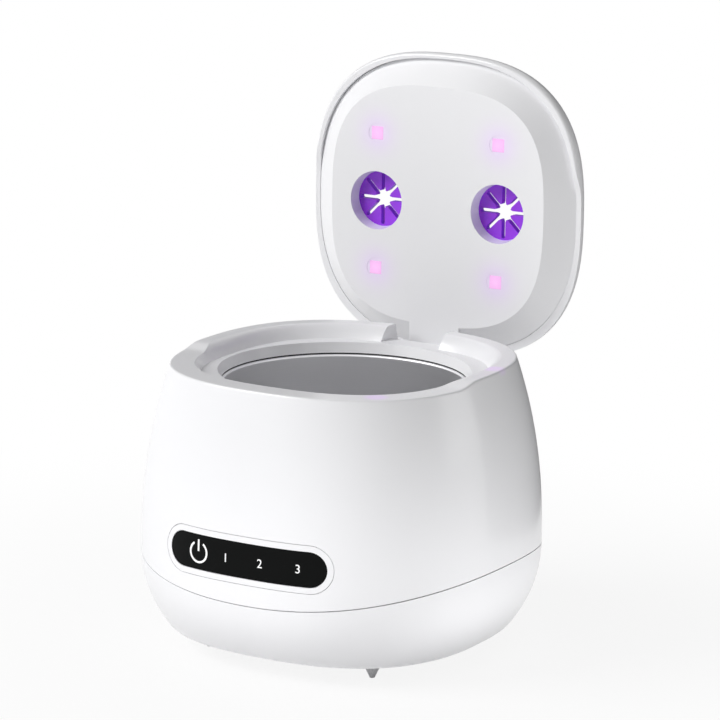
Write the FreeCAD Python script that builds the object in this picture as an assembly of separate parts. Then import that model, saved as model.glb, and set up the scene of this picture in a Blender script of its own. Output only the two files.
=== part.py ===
import FreeCAD, Part
import math
import os

from FreeCAD import Vector

# Countertop ultrasonic cleaner for dental retainers.
# Millimetres. The origin is on the body's upright axis, on the plane that the feet stand on.
# -Y is the front with the control panel, +Y the back with the hinge, +Z is up.
# The lid is drawn shut and then turned open about the hinge, which is how the object stands.

# Body outline: a superellipse in plan whose half width follows the height
BELLY_HALF = 66.85
BELLY_Z = 36.0
PLAN_POWER = 2.5
TOP_REFERENCE_Z = 99.0
TOP_NARROWING = 8.75
TOP_CURVE_POWER = 2.2
LOW_REFERENCE_Z = 5.9
LOW_NARROWING = 10.8
LOW_CURVE_POWER = 2.25
BOTTOM_Z = 6.5
BOTTOM_EDGE_RADIUS = 5.0
WALL = 2.4

# Rim, its step on both sides, and the well that leads down to the ledge
RIM_FRONT_Z = 100.9
RIM_STEP = 1.7
STEP_FRONT_Y = -20.0
STEP_BACK_Y = -5.0
RIM_EDGE_RADIUS = 0.8
WELL_TOP_HALF = 52.0
WELL_CURVE_POWER = 1.8
LEDGE_HALF = 46.5
LEDGE_POWER = 2.7
LEDGE_Z = 97.7
LEDGE_THICKNESS = 3.7
MOUTH_RADIUS = 44.6
COLLAR_RADIUS = 43.4
RIM_GROOVE_WALL = 2.4
RIM_GROOVE_INNER_HALF = 51.0
RIM_GROOVE_ROOF = 2.6

# Parting line between the housing and the base: an arc in front view
SEAM_Z = 28.0
SEAM_RADIUS = 250.0
SEAM_GAP = 0.35
TONGUE_HEIGHT = 3.0
TONGUE_THICKNESS = 1.0
TONGUE_CLEARANCE = 0.1

# Tank and what clamps it
TANK_RADIUS = 42.6
TANK_DEPTH = 45.0
TANK_SHEET = 0.8
TANK_CORNER_RADIUS = 7.0
TANK_FLANGE_RADIUS = 48.0
GASKET_THICKNESS = 0.5
GASKET_INNER_RADIUS = 43.6
CLAMP_THICKNESS = 2.0
CLAMP_INNER_RADIUS = 44.0
CLAMP_OUTER_RADIUS = 49.2
CLAMP_SCREW_RADIUS_AT = 53.6
CLAMP_EAR_RADIUS = 4.0
CLAMP_HOLE_DEPTH = 4.3
PIEZO_RADIUS = 17.5
PIEZO_THICKNESS = 4.0
PIEZO_GLUE = 0.2
PIEZO_GLUE_MARGIN = 1.0

# Screws
SCREW_RADIUS = 1.45
SCREW_HOLE_RADIUS = 1.5
SCREW_PASS_RADIUS = 1.7
SCREW_HEAD_RADIUS = 2.7
SCREW_HEAD_HEIGHT = 1.8
RECESS_RADIUS = 1.2
RECESS_DEPTH = 1.0
CLAMP_SCREW_LENGTH = 5.5
BOARD_SCREW_LENGTH = 5.0

# Feet, and the base screws above them
FOOT_X = 33.2
FOOT_Y = 35.0
FOOT_TIP_RADIUS = 0.9
FOOT_ROOT_RADIUS = 3.9
FOOT_PLUG_DEPTH = 2.0
FOOT_CLEARANCE = 0.1
BOSS_RADIUS = 5.2
BOSS_TOP_Z = 26.0
BASE_SCREW_HEAD_Z = 12.0
BASE_SCREW_LENGTH = 22.0
POST_RADIUS = 3.8
POST_TOP_Z = 60.0
POST_RIB = 1.8
POST_HOLE_DEPTH = 10.5

# Control panel on the front
PANEL_Z = 44.0
WINDOW_HALF_LENGTH = 31.0
WINDOW_HALF_HEIGHT = 6.05
SURROUND_WIDTH = 2.25
PANEL_GAP = 0.2
PANEL_DEPTH = 1.2
WINDOW_INSET = 0.05
WINDOW_SEAT = 1.5
CONTROL_BOARD_HALF_LENGTH = 30.0
CONTROL_BOARD_HALF_HEIGHT = 9.0
CONTROL_BOARD_THICKNESS = 1.6
CONTROL_BOARD_SETBACK = 11.5
PANEL_POST_RADIUS = 2.6
PANEL_POST_X = 26.5
PANEL_POST_RISE = 12.0
TOUCH_KEY_X = -18.2
TOUCH_PAD_RADIUS = 4.0
LEVEL_X = (-6.7, 6.9, 21.1)
INDICATOR_SIZE = 3.0
INDICATOR_HEIGHT = 1.9

# Driver electronics in the base
BOARD_HALF_LENGTH = 38.0
BOARD_HALF_DEPTH = 27.0
BOARD_THICKNESS = 1.6
STANDOFF_HEIGHT = 5.5
STANDOFF_RADIUS = 3.2
STANDOFF_X = 33.0
STANDOFF_Y = 22.0
TRANSFORMER_SIZE = (22.0, 18.0, 15.0)
TRANSFORMER_AT = (-18.0, -6.0)
COIL_MARGIN = 3.0
CAPACITOR_RADIUS = 5.0
CAPACITOR_HEIGHT = 16.0
CAPACITOR_AT = ((6.0, 14.0), (18.0, 14.0), (30.0, 10.0))
HEAT_SINK_SIZE = (24.0, 8.0, 18.0)
HEAT_SINK_AT = (14.0, -12.0)
HEAT_SINK_FINS = 5
HEAT_SINK_FIN_THICKNESS = 1.4
HEAT_SINK_PLATE = 2.0
TRANSISTOR_SIZE = (10.0, 4.4, 14.0)

# Power inlet at the back
INLET_Z = 43.0
INLET_RADIUS = 4.0
INLET_LENGTH = 12.0
INLET_FLANGE_RADIUS = 5.6
INLET_FLANGE_THICKNESS = 1.2
INLET_BORE_RADIUS = 2.75
INLET_BORE_DEPTH = 9.0
INLET_PIN_RADIUS = 1.0
INLET_PIN_ROOT = 1.0
INLET_NUT_RADIUS = 5.8
INLET_NUT_THICKNESS = 2.4
INLET_SEAT_DEPTH = 0.05
INLET_SEAT_MARGIN = 0.5

# Hinge
HINGE_Y = 55.7
HINGE_Z = 90.2
PIN_RADIUS = 1.25
PIN_BORE_RADIUS = 1.3
PIN_HALF_LENGTH = 16.0
BARREL_RADIUS = 3.6
BARREL_HALF_LENGTH = 11.7
NOTCH_HALF_WIDTH = 12.0
NOTCH_FRONT_SETBACK = 2.3
POCKET_CLEARANCE = 0.5
EAR_THICKNESS = 5.5
POCKET_WALL = 2.0
OPEN_ANGLE = 90.0
OPEN_STOP_GAP = 0.35

# Lid, drawn shut
PLATEAU_GAP = 0.5
PLATEAU_HALF = 43.9
PLATEAU_POWER = 2.9
SLOPE_OUTER_HALF = 53.3
SLOPE_DEPTH = 7.5
LINER_WALL = 1.8
LINER_EDGE_HEIGHT = 1.2
LID_FIT = 0.1
COVER_HALF = 55.3
COVER_POWER = 2.65
COVER_EDGE_GAP = 2.9
COVER_EDGE_RISE = 2.2
COVER_EDGE_INSET = 1.0
COVER_EDGE_ANGLES = (0.0, 28.0, 56.0)
COVER_WALL = 2.0
DOME_HEIGHT = 12.2
DOME_POWER = 2.5
DOME_END_ANGLE = 84.0
TAB_HALF_WIDTH = 10.3
TAB_THICKNESS = 3.5
TAB_START_Y = 42.0
ARM_FRONT_SETBACK = 0.55
ARM_CORNER_RADIUS = 3.0

# Lamp windows, lamps and their board in the lid
LAMP_X = 25.0
LAMP_Y = 25.0
LAMP_WINDOW = 4.7
LAMP_WINDOW_GAP = 0.06
DIMPLE_RADIUS = 3.6
DIMPLE_DEPTH = 0.12
LAMP_SIZE = 5.0
LAMP_HEIGHT = 1.5
LAMP_GAP = 0.2
LID_BOARD_HALF = 33.0
LID_BOARD_THICKNESS = 1.2
LID_BOARD_CORNER = 6.0
LID_POST_X = 9.5
LID_POST_Y = 22.0
LID_POST_RADIUS = 2.8
LID_POST_HOLE = 3.2

# Slotted grommets in the lid
GROMMET_X = 25.1
GROMMET_HOLE_RADIUS = 10.8
GROMMET_HOLE_TAPER = 0.5
GROMMET_RECESS = 5.2
GROMMET_THICKNESS = 2.6
GROMMET_RADIUS = 12.6
GROMMET_CENTRE_RADIUS = 3.05
GROMMET_SCALLOP_RADIUS = 0.95
GROMMET_SLOTS = 8
GROMMET_SLOT_WIDTH = 1.5
GROMMET_SLOT_END = 9.7
GROMMET_TUBE_WALL = 1.8
GROMMET_TOP_FLARE = 6.0

# Loft resolution, and how near a flat level an edge has to lie to be taken as part of it
PLAN_POINTS = 40
BODY_SECTIONS = 13
WELL_SECTIONS = 7
DOME_SECTIONS = 9
NEAR = 0.01

# Heights and places that follow from the values above
RIM_BACK_Z = RIM_FRONT_Z + RIM_STEP
LEDGE_UNDER_Z = LEDGE_Z - LEDGE_THICKNESS
FLANGE_TOP_Z = LEDGE_UNDER_Z - GASKET_THICKNESS
FLANGE_UNDER_Z = FLANGE_TOP_Z - TANK_SHEET
TANK_FLOOR_Z = FLANGE_TOP_Z - TANK_DEPTH
BASE_FLOOR_Z = BOTTOM_Z + WALL
BOARD_UNDER_Z = BASE_FLOOR_Z + STANDOFF_HEIGHT
BOARD_TOP_Z = BOARD_UNDER_Z + BOARD_THICKNESS
PLATEAU_Z = LEDGE_Z + PLATEAU_GAP
SLOPE_OUTER_Z = PLATEAU_Z + SLOPE_DEPTH
COVER_FRONT_Z = RIM_FRONT_Z + COVER_EDGE_GAP
DOME_BASE_Z = COVER_FRONT_Z + COVER_EDGE_RISE
DOME_TOP_Z = DOME_BASE_Z + DOME_HEIGHT
ARM_FRONT_Y = HINGE_Y - ARM_FRONT_SETBACK
ARM_BACK_Y = HINGE_Y + BARREL_RADIUS
NOTCH_FRONT_Y = HINGE_Y - NOTCH_FRONT_SETBACK
NOTCH_FLOOR_Z = HINGE_Z - BARREL_RADIUS - OPEN_STOP_GAP
GROMMET_UNDER_Z = PLATEAU_Z + GROMMET_RECESS
GROMMET_OVER_Z = GROMMET_UNDER_Z + GROMMET_THICKNESS
LAMP_TOP_Z = PLATEAU_Z + LINER_WALL + LAMP_GAP + LAMP_HEIGHT
CONTROL_BOARD_BACK_Y = CONTROL_BOARD_SETBACK - BELLY_HALF
CONTROL_BOARD_FRONT_Y = CONTROL_BOARD_BACK_Y - CONTROL_BOARD_THICKNESS
INLET_SEAT_Y = BELLY_HALF - WALL + INLET_SEAT_DEPTH
LAMP_PLACES = [(x, y) for x in (-LAMP_X, LAMP_X) for y in (-LAMP_Y, LAMP_Y)]
FOOT_PLACES = [(x, y) for x in (-FOOT_X, FOOT_X) for y in (-FOOT_Y, FOOT_Y)]
REACH = 2.0 * BELLY_HALF


def half_width(z):
    """Half width of the body at height z: widest at the belly, narrower by a power law away from it."""
    if z >= BELLY_Z:
        share = (z - BELLY_Z) / (TOP_REFERENCE_Z - BELLY_Z)
        return BELLY_HALF - TOP_NARROWING * share ** TOP_CURVE_POWER
    share = (BELLY_Z - z) / (BELLY_Z - LOW_REFERENCE_Z)
    return BELLY_HALF - LOW_NARROWING * share ** LOW_CURVE_POWER


def squircle(half, power, z):
    """Closed smooth wire of the superellipse |x|^power + |y|^power = half^power at height z."""
    points = []
    for step in range(PLAN_POINTS):
        angle = 2.0 * math.pi * step / PLAN_POINTS
        c, s = math.cos(angle), math.sin(angle)
        radius = half / (abs(c) ** power + abs(s) ** power) ** (1.0 / power)
        points.append(Vector(radius * c, radius * s, z))
    curve = Part.BSplineCurve()
    curve.interpolate(Points=points, PeriodicFlag=True)
    return Part.Wire([curve.toShape()])


def loft(sections, ruled=False):
    """Solid through (half width, power, height) sections."""
    wires = [squircle(half, power, z) for half, power, z in sections]
    return Part.makeLoft(wires, True, ruled)


def prism(half, power, low, high):
    """Upright superellipse prism between two heights."""
    return Part.Face(squircle(half, power, low)).extrude(Vector(0, 0, high - low))


def box(low, high):
    """Box between two corners."""
    size = [b - a for a, b in zip(low, high)]
    return Part.makeBox(size[0], size[1], size[2], Vector(*low))


def column(x, y, low, high, radius):
    """Upright cylinder."""
    return Part.makeCylinder(radius, high - low, Vector(x, y, low), Vector(0, 0, 1))


def cone(x, y, low, high, low_radius, high_radius):
    """Upright truncated cone."""
    return Part.makeCone(low_radius, high_radius, high - low, Vector(x, y, low), Vector(0, 0, 1))


def rod(low, high, y, z, radius):
    """Cylinder along X."""
    return Part.makeCylinder(radius, high - low, Vector(low, y, z), Vector(1, 0, 0))


def fuse_all(shapes):
    """Union of the shapes."""
    return shapes[0].multiFuse(shapes[1:])


def rounded(shape, edges, radius):
    """Fillet on the edges that pass the test."""
    chosen = [edge for edge in shape.Edges if edges(edge)]
    return shape.makeFillet(radius, chosen)


def polygon_face(points):
    """Planar face through a closed list of points."""
    return Part.Face(Part.makePolygon(points + [points[0]]))


def body_solid(inset, low, high):
    """The body's outline between two heights, moved in by inset."""
    sections = []
    for step in range(BODY_SECTIONS):
        z = low + (high - low) * step / (BODY_SECTIONS - 1)
        sections.append((half_width(z) - inset, PLAN_POWER, z))
    return loft(sections)


def step_block(front_z, other):
    """Slab whose one face follows the rim's step, at front_z in front. The other face is flat at other."""
    back_z = front_z + RIM_STEP
    middle_y = 0.5 * (STEP_FRONT_Y + STEP_BACK_Y)
    start = Vector(-REACH, -REACH, front_z)
    first = Vector(-REACH, STEP_FRONT_Y, front_z)
    last = Vector(-REACH, STEP_BACK_Y, back_z)
    end = Vector(-REACH, REACH, back_z)
    bend = Part.BezierCurve()
    bend.setPoles([first, Vector(-REACH, middle_y, front_z), Vector(-REACH, middle_y, back_z), last])
    corner_end = Vector(-REACH, REACH, other)
    corner_start = Vector(-REACH, -REACH, other)
    edges = [
        Part.LineSegment(start, first).toShape(),
        bend.toShape(),
        Part.LineSegment(last, end).toShape(),
        Part.LineSegment(end, corner_end).toShape(),
        Part.LineSegment(corner_end, corner_start).toShape(),
        Part.LineSegment(corner_start, start).toShape(),
    ]
    return Part.Face(Part.Wire(edges)).extrude(Vector(2.0 * REACH, 0, 0))


def seam_block(shift):
    """Everything between the standing plane and the parting arc moved up by shift."""
    drop = SEAM_RADIUS - math.sqrt(SEAM_RADIUS ** 2 - REACH ** 2)
    left = Vector(-REACH, -REACH, SEAM_Z + shift + drop)
    middle = Vector(0, -REACH, SEAM_Z + shift)
    right = Vector(REACH, -REACH, SEAM_Z + shift + drop)
    corner_right = Vector(REACH, -REACH, 0)
    corner_left = Vector(-REACH, -REACH, 0)
    edges = [
        Part.Arc(left, middle, right).toShape(),
        Part.LineSegment(right, corner_right).toShape(),
        Part.LineSegment(corner_right, corner_left).toShape(),
        Part.LineSegment(corner_left, left).toShape(),
    ]
    return Part.Face(Part.Wire(edges)).extrude(Vector(0, 2.0 * REACH, 0))


def well_cutter():
    """Room above the ledge: its wall leaves the ledge steeply and flattens into the rim by a power law."""
    sections = []
    for step in range(WELL_SECTIONS):
        share = step / (WELL_SECTIONS - 1)
        half = LEDGE_HALF + (WELL_TOP_HALF - LEDGE_HALF) * share
        z = LEDGE_Z + (RIM_BACK_Z - LEDGE_Z) * (1.0 - (1.0 - share) ** WELL_CURVE_POWER)
        sections.append((half, LEDGE_POWER + (PLAN_POWER - LEDGE_POWER) * share, z))
    slope = loft(sections)
    above = prism(WELL_TOP_HALF, PLAN_POWER, RIM_BACK_Z, RIM_BACK_Z + WALL)
    mouth = cone(0, 0, LEDGE_UNDER_Z, LEDGE_Z, COLLAR_RADIUS, MOUTH_RADIUS)
    return [slope, above, mouth]


def panel_body(inset):
    """The body's outline, moved in by inset, at the height of the control panel."""
    reach = 2.0 * (WINDOW_HALF_HEIGHT + SURROUND_WIDTH)
    return body_solid(inset, PANEL_Z - reach, PANEL_Z + reach)


def pill_prism(margin):
    """The window's outline, wider by margin all round, pushed through the front wall."""
    half_height = WINDOW_HALF_HEIGHT + margin
    straight = WINDOW_HALF_LENGTH - WINDOW_HALF_HEIGHT
    back = -BELLY_HALF / 2
    slab = box((-straight, -REACH, PANEL_Z - half_height), (straight, back, PANEL_Z + half_height))
    ends = [
        Part.makeCylinder(half_height, REACH + back, Vector(x, -REACH, PANEL_Z), Vector(0, 1, 0))
        for x in (-straight, straight)
    ]
    return fuse_all([slab] + ends)


def hinge_block():
    """Solid corner that carries the hinge pin and frames the notch."""
    half = NOTCH_HALF_WIDTH + EAR_THICKNESS
    front = HINGE_Y - BARREL_RADIUS - POCKET_CLEARANCE - POCKET_WALL
    low = NOTCH_FLOOR_Z - POCKET_WALL
    return box((-half, front, low), (half, REACH, RIM_BACK_Z))


def notch_cutters():
    """The notch that the lid's arm swings in, and the pocket round its barrel."""
    pocket_front = HINGE_Y - BARREL_RADIUS - POCKET_CLEARANCE
    pocket_top = HINGE_Z + BARREL_RADIUS + POCKET_CLEARANCE
    notch = box(
        (-NOTCH_HALF_WIDTH, NOTCH_FRONT_Y, NOTCH_FLOOR_Z),
        (NOTCH_HALF_WIDTH, REACH, RIM_BACK_Z + WALL),
    )
    pocket = box(
        (-NOTCH_HALF_WIDTH, pocket_front, NOTCH_FLOOR_Z),
        (NOTCH_HALF_WIDTH, NOTCH_FRONT_Y + POCKET_CLEARANCE, pocket_top),
    )
    above_ledge = box(
        (-NOTCH_HALF_WIDTH, LEDGE_HALF - WALL, LEDGE_Z),
        (NOTCH_HALF_WIDTH, REACH, RIM_BACK_Z + WALL),
    )
    reach = PIN_HALF_LENGTH + POCKET_CLEARANCE
    pin_hole = rod(-reach, NOTCH_HALF_WIDTH + EAR_THICKNESS, HINGE_Y, HINGE_Z, PIN_RADIUS)
    return [notch, pocket, above_ledge, pin_hole]


def clamp_places():
    """The four places on the diagonals where the clamp ring is screwed up."""
    reach = CLAMP_SCREW_RADIUS_AT / math.sqrt(2.0)
    return [(x, y) for x in (-reach, reach) for y in (-reach, reach)]


def upper_housing():
    """Upper shell: skin, rim, well, ledge, hinge ears, posts and bosses."""
    low = SEAM_Z - WALL
    skin = body_solid(0.0, low, RIM_BACK_Z + WALL)
    skin = skin.cut(step_block(RIM_FRONT_Z, RIM_BACK_Z + 4.0 * WALL))
    skin = rim_rounded(skin)
    hollow = body_solid(WALL, low, LEDGE_UNDER_Z)
    roof = RIM_FRONT_Z - RIM_GROOVE_ROOF
    groove = body_solid(RIM_GROOVE_WALL, LEDGE_UNDER_Z, roof)
    groove = groove.cut(prism(RIM_GROOVE_INNER_HALF, PLAN_POWER, LEDGE_UNDER_Z, roof))
    keep = NOTCH_HALF_WIDTH + EAR_THICKNESS + WALL
    groove = groove.cut(box((-keep, 0, LEDGE_UNDER_Z), (keep, REACH, roof)))
    bosses = [column(x, y, LEDGE_UNDER_Z, roof, CLAMP_EAR_RADIUS) for x, y in clamp_places()]
    groove = groove.cut(fuse_all(bosses))
    shell = skin.cut(hollow.fuse(groove))
    added = [hinge_block().common(body_solid(WALL / 2, HINGE_Z / 2, RIM_FRONT_Z - WALL / 2))]
    for x, y in clamp_places():
        added.append(column(x, y, FLANGE_UNDER_Z, LEDGE_UNDER_Z + WALL / 2, CLAMP_EAR_RADIUS))
    inside_skin = body_solid(WALL / 2, low, LEDGE_UNDER_Z)
    for x, y in FOOT_PLACES:
        added.append(column(x, y, BOSS_TOP_Z, POST_TOP_Z, POST_RADIUS))
        rib = box((0, -POST_RIB / 2, SEAM_Z + WALL * 5), (REACH, POST_RIB / 2, POST_TOP_Z))
        rib.rotate(Vector(0, 0, 0), Vector(0, 0, 1), math.degrees(math.atan2(y, x)))
        rib.translate(Vector(x, y, 0))
        added.append(rib.common(inside_skin))
    post_z = PANEL_Z + PANEL_POST_RISE
    for x in (-PANEL_POST_X, PANEL_POST_X):
        start = Vector(x, CONTROL_BOARD_FRONT_Y, post_z)
        post = Part.makeCylinder(PANEL_POST_RADIUS, REACH, start, Vector(0, -1, 0))
        added.append(post.common(inside_skin))
    shell = fuse_all([shell] + added)
    cutters = well_cutter() + notch_cutters()
    for x, y in clamp_places():
        cutters.append(column(x, y, FLANGE_UNDER_Z, FLANGE_UNDER_Z + CLAMP_HOLE_DEPTH, SCREW_HOLE_RADIUS))
    for x, y in FOOT_PLACES:
        cutters.append(column(x, y, BOSS_TOP_Z, BOSS_TOP_Z + POST_HOLE_DEPTH, SCREW_HOLE_RADIUS))
    sleeves = post_sleeves()
    cutters.append(seam_block(SEAM_GAP / 2).cut(sleeves))
    high = SEAM_Z + BELLY_HALF / 2
    inner_skin = body_solid(WALL - TONGUE_THICKNESS - TONGUE_CLEARANCE, low, high)
    rebate = inner_skin.common(seam_block(TONGUE_HEIGHT + TONGUE_CLEARANCE * 2))
    cutters.append(rebate.cut(sleeves))
    cutters.append(pill_prism(SURROUND_WIDTH + PANEL_GAP).cut(panel_body(PANEL_DEPTH)))
    cutters.append(pill_prism(-WINDOW_SEAT))
    cutters.append(Part.makeCylinder(INLET_RADIUS, REACH, Vector(0, 0, INLET_Z), Vector(0, 1, 0)))
    seat_radius = INLET_NUT_RADIUS / math.cos(math.radians(30.0)) + INLET_SEAT_MARGIN
    cutters.append(Part.makeCylinder(seat_radius, INLET_SEAT_Y, Vector(0, 0, INLET_Z), Vector(0, 1, 0)))
    for x in (-PANEL_POST_X, PANEL_POST_X):
        start = Vector(x, CONTROL_BOARD_FRONT_Y, post_z)
        cutters.append(Part.makeCylinder(SCREW_HOLE_RADIUS, BOARD_SCREW_LENGTH, start, Vector(0, -1, 0)))
    for cutter in cutters:
        shell = shell.cut(cutter)
    return shell


def post_sleeves():
    """The room of the posts that reach down past the parting line."""
    return fuse_all([column(x, y, BOSS_TOP_Z, SEAM_Z + BELLY_HALF, POST_RADIUS) for x, y in FOOT_PLACES])


def rim_rounded(skin):
    """Round the rim's outer edge."""
    def on_rim(edge):
        bounds = edge.BoundBox
        return bounds.ZMin > RIM_FRONT_Z - NEAR and bounds.ZMax < RIM_BACK_Z + NEAR
    return rounded(skin, on_rim, RIM_EDGE_RADIUS)


def base_cover():
    """Lower shell: tray with a tongue, screw bosses and board standoffs."""
    top = SEAM_Z + BELLY_HALF / 2
    solid = body_solid(0.0, BOTTOM_Z, top)
    solid = rounded(solid, lambda edge: edge.BoundBox.ZMax < BOTTOM_Z + NEAR, BOTTOM_EDGE_RADIUS)
    hollow = body_solid(WALL, BASE_FLOOR_Z, top)
    tray = solid.cut(hollow).common(seam_block(-SEAM_GAP / 2))
    tongue = body_solid(WALL - TONGUE_THICKNESS, SEAM_Z - 3.0 * WALL, top).cut(hollow)
    tongue = tongue.common(seam_block(TONGUE_HEIGHT)).cut(seam_block(-2.0 * WALL))
    added = [tray, tongue]
    for x, y in FOOT_PLACES:
        added.append(column(x, y, BASE_FLOOR_Z - WALL / 2, BOSS_TOP_Z, BOSS_RADIUS))
    for x, y in standoff_places():
        added.append(column(x, y, BASE_FLOOR_Z - WALL / 2, BOARD_UNDER_Z, STANDOFF_RADIUS))
    tray = fuse_all(added)
    cutters = []
    for x, y in FOOT_PLACES:
        cutters.append(column(x, y, 0.0, BOTTOM_Z + FOOT_PLUG_DEPTH, FOOT_ROOT_RADIUS))
        cutters.append(column(x, y, 0.0, BASE_SCREW_HEAD_Z, SCREW_HEAD_RADIUS + FOOT_CLEARANCE))
        cutters.append(column(x, y, 0.0, BOSS_TOP_Z + WALL, SCREW_PASS_RADIUS))
    for x, y in standoff_places():
        cutters.append(column(x, y, BOARD_UNDER_Z - BOARD_SCREW_LENGTH, BOARD_UNDER_Z, SCREW_HOLE_RADIUS))
    return tray.cut(cutters[0].multiFuse(cutters[1:]))


def standoff_places():
    """The four places of the driver board's screws."""
    return [(x, y) for x in (-STANDOFF_X, STANDOFF_X) for y in (-STANDOFF_Y, STANDOFF_Y)]


def rubber_feet():
    """Conical rubber feet that plug the screw wells."""
    feet = []
    for x, y in FOOT_PLACES:
        nub = cone(x, y, 0.0, BOTTOM_Z, FOOT_TIP_RADIUS, FOOT_ROOT_RADIUS)
        plug = column(x, y, BOTTOM_Z, BOTTOM_Z + FOOT_PLUG_DEPTH, FOOT_ROOT_RADIUS)
        feet.append(fuse_all([nub, plug]))
    return feet


def screw(length):
    """Round-head screw, point up, its head's upper face at z = 0, with a round driver recess below."""
    shank = column(0, 0, 0.0, length, SCREW_RADIUS)
    head = column(0, 0, -SCREW_HEAD_HEIGHT, 0.0, SCREW_HEAD_RADIUS)
    head = rounded(head, lambda edge: edge.BoundBox.ZMax < NEAR - SCREW_HEAD_HEIGHT, SCREW_HEAD_HEIGHT / 3)
    recess = column(0, 0, -SCREW_HEAD_HEIGHT, RECESS_DEPTH - SCREW_HEAD_HEIGHT, RECESS_RADIUS)
    return fuse_all([shank, head]).cut(recess)


def placed_screw(length, place, direction):
    """A screw whose head seats at place, with the point along direction."""
    one = screw(length)
    turn = FreeCAD.Rotation(Vector(0, 0, 1), direction)
    one.Placement = FreeCAD.Placement(place, turn)
    return one


def tank():
    """Deep-drawn tank: round bowl with a filleted floor and a flange rolled outward."""
    inner = TANK_RADIUS
    outer = TANK_RADIUS + TANK_SHEET
    corner = TANK_CORNER_RADIUS
    floor = TANK_FLOOR_Z
    flat = inner - corner
    half = math.sqrt(0.5)
    points = {
        "centre_top": Vector(0, 0, floor),
        "flat_top": Vector(flat, 0, floor),
        "wall_low": Vector(inner, 0, floor + corner),
        "wall_high": Vector(inner, 0, FLANGE_UNDER_Z),
        "roll_end": Vector(outer, 0, FLANGE_TOP_Z),
        "edge_top": Vector(TANK_FLANGE_RADIUS, 0, FLANGE_TOP_Z),
        "edge_low": Vector(TANK_FLANGE_RADIUS, 0, FLANGE_UNDER_Z),
        "neck": Vector(outer, 0, FLANGE_UNDER_Z),
        "back_low": Vector(outer, 0, floor + corner),
        "flat_low": Vector(flat, 0, floor - TANK_SHEET),
        "centre_low": Vector(0, 0, floor - TANK_SHEET),
    }
    in_arc = Vector(flat + corner * half, 0, floor + corner - corner * half)
    out_arc = Vector(flat + (corner + TANK_SHEET) * half, 0, floor + corner - (corner + TANK_SHEET) * half)
    roll = Vector(outer - TANK_SHEET * half, 0, FLANGE_UNDER_Z + TANK_SHEET * half)
    edges = [
        Part.LineSegment(points["centre_top"], points["flat_top"]).toShape(),
        Part.Arc(points["flat_top"], in_arc, points["wall_low"]).toShape(),
        Part.LineSegment(points["wall_low"], points["wall_high"]).toShape(),
        Part.Arc(points["wall_high"], roll, points["roll_end"]).toShape(),
        Part.LineSegment(points["roll_end"], points["edge_top"]).toShape(),
        Part.LineSegment(points["edge_top"], points["edge_low"]).toShape(),
        Part.LineSegment(points["edge_low"], points["neck"]).toShape(),
        Part.LineSegment(points["neck"], points["back_low"]).toShape(),
        Part.Arc(points["back_low"], out_arc, points["flat_low"]).toShape(),
        Part.LineSegment(points["flat_low"], points["centre_low"]).toShape(),
        Part.LineSegment(points["centre_low"], points["centre_top"]).toShape(),
    ]
    face = Part.Face(Part.Wire(edges))
    return face.revolve(Vector(0, 0, 0), Vector(0, 0, 1), 360)


def tank_gasket():
    """Rubber ring between the tank's flange and the ledge."""
    ring = column(0, 0, FLANGE_TOP_Z, LEDGE_UNDER_Z, TANK_FLANGE_RADIUS)
    return ring.cut(column(0, 0, FLANGE_TOP_Z, LEDGE_UNDER_Z, GASKET_INNER_RADIUS))


def clamp_ring():
    """Ring with four ears that presses the tank's flange up against the gasket."""
    low = FLANGE_UNDER_Z - CLAMP_THICKNESS
    parts = [column(0, 0, low, FLANGE_UNDER_Z, CLAMP_OUTER_RADIUS)]
    for x, y in clamp_places():
        neck = box(
            (CLAMP_INNER_RADIUS, -CLAMP_EAR_RADIUS, low),
            (CLAMP_SCREW_RADIUS_AT, CLAMP_EAR_RADIUS, FLANGE_UNDER_Z),
        )
        neck.rotate(Vector(0, 0, 0), Vector(0, 0, 1), math.degrees(math.atan2(y, x)))
        parts += [neck, column(x, y, low, FLANGE_UNDER_Z, CLAMP_EAR_RADIUS)]
    ring = fuse_all(parts)
    cutters = [column(0, 0, low, FLANGE_UNDER_Z, CLAMP_INNER_RADIUS)]
    for x, y in clamp_places():
        cutters.append(column(x, y, low, FLANGE_UNDER_Z, SCREW_PASS_RADIUS))
    return ring.cut(cutters[0].multiFuse(cutters[1:]))


def clamp_screws():
    """Screws of the clamp ring."""
    low = FLANGE_UNDER_Z - CLAMP_THICKNESS
    return [placed_screw(CLAMP_SCREW_LENGTH, Vector(x, y, low), Vector(0, 0, 1)) for x, y in clamp_places()]


def piezo_disc():
    """Piezo disc under the tank's floor."""
    top = TANK_FLOOR_Z - TANK_SHEET - PIEZO_GLUE
    return column(0, 0, top - PIEZO_THICKNESS, top, PIEZO_RADIUS)


def adhesive_pad():
    """Layer of adhesive between the piezo disc and the tank."""
    top = TANK_FLOOR_Z - TANK_SHEET
    return column(0, 0, top - PIEZO_GLUE, top, PIEZO_RADIUS - PIEZO_GLUE_MARGIN)


def base_screws():
    """Screws that hold the base to the housing."""
    return [
        placed_screw(BASE_SCREW_LENGTH, Vector(x, y, BASE_SCREW_HEAD_Z), Vector(0, 0, 1))
        for x, y in FOOT_PLACES
    ]


def driver_board():
    """Printed circuit board in the base."""
    low_corner = (-BOARD_HALF_LENGTH, -BOARD_HALF_DEPTH, BOARD_UNDER_Z)
    high_corner = (BOARD_HALF_LENGTH, BOARD_HALF_DEPTH, BOARD_TOP_Z)
    board = box(low_corner, high_corner)
    holes = [column(x, y, BOARD_UNDER_Z, BOARD_TOP_Z, SCREW_PASS_RADIUS) for x, y in standoff_places()]
    return board.cut(holes[0].multiFuse(holes[1:]))


def board_screws():
    """Screws of the driver board."""
    return [
        placed_screw(BOARD_SCREW_LENGTH, Vector(x, y, BOARD_TOP_Z), Vector(0, 0, -1))
        for x, y in standoff_places()
    ]


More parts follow.
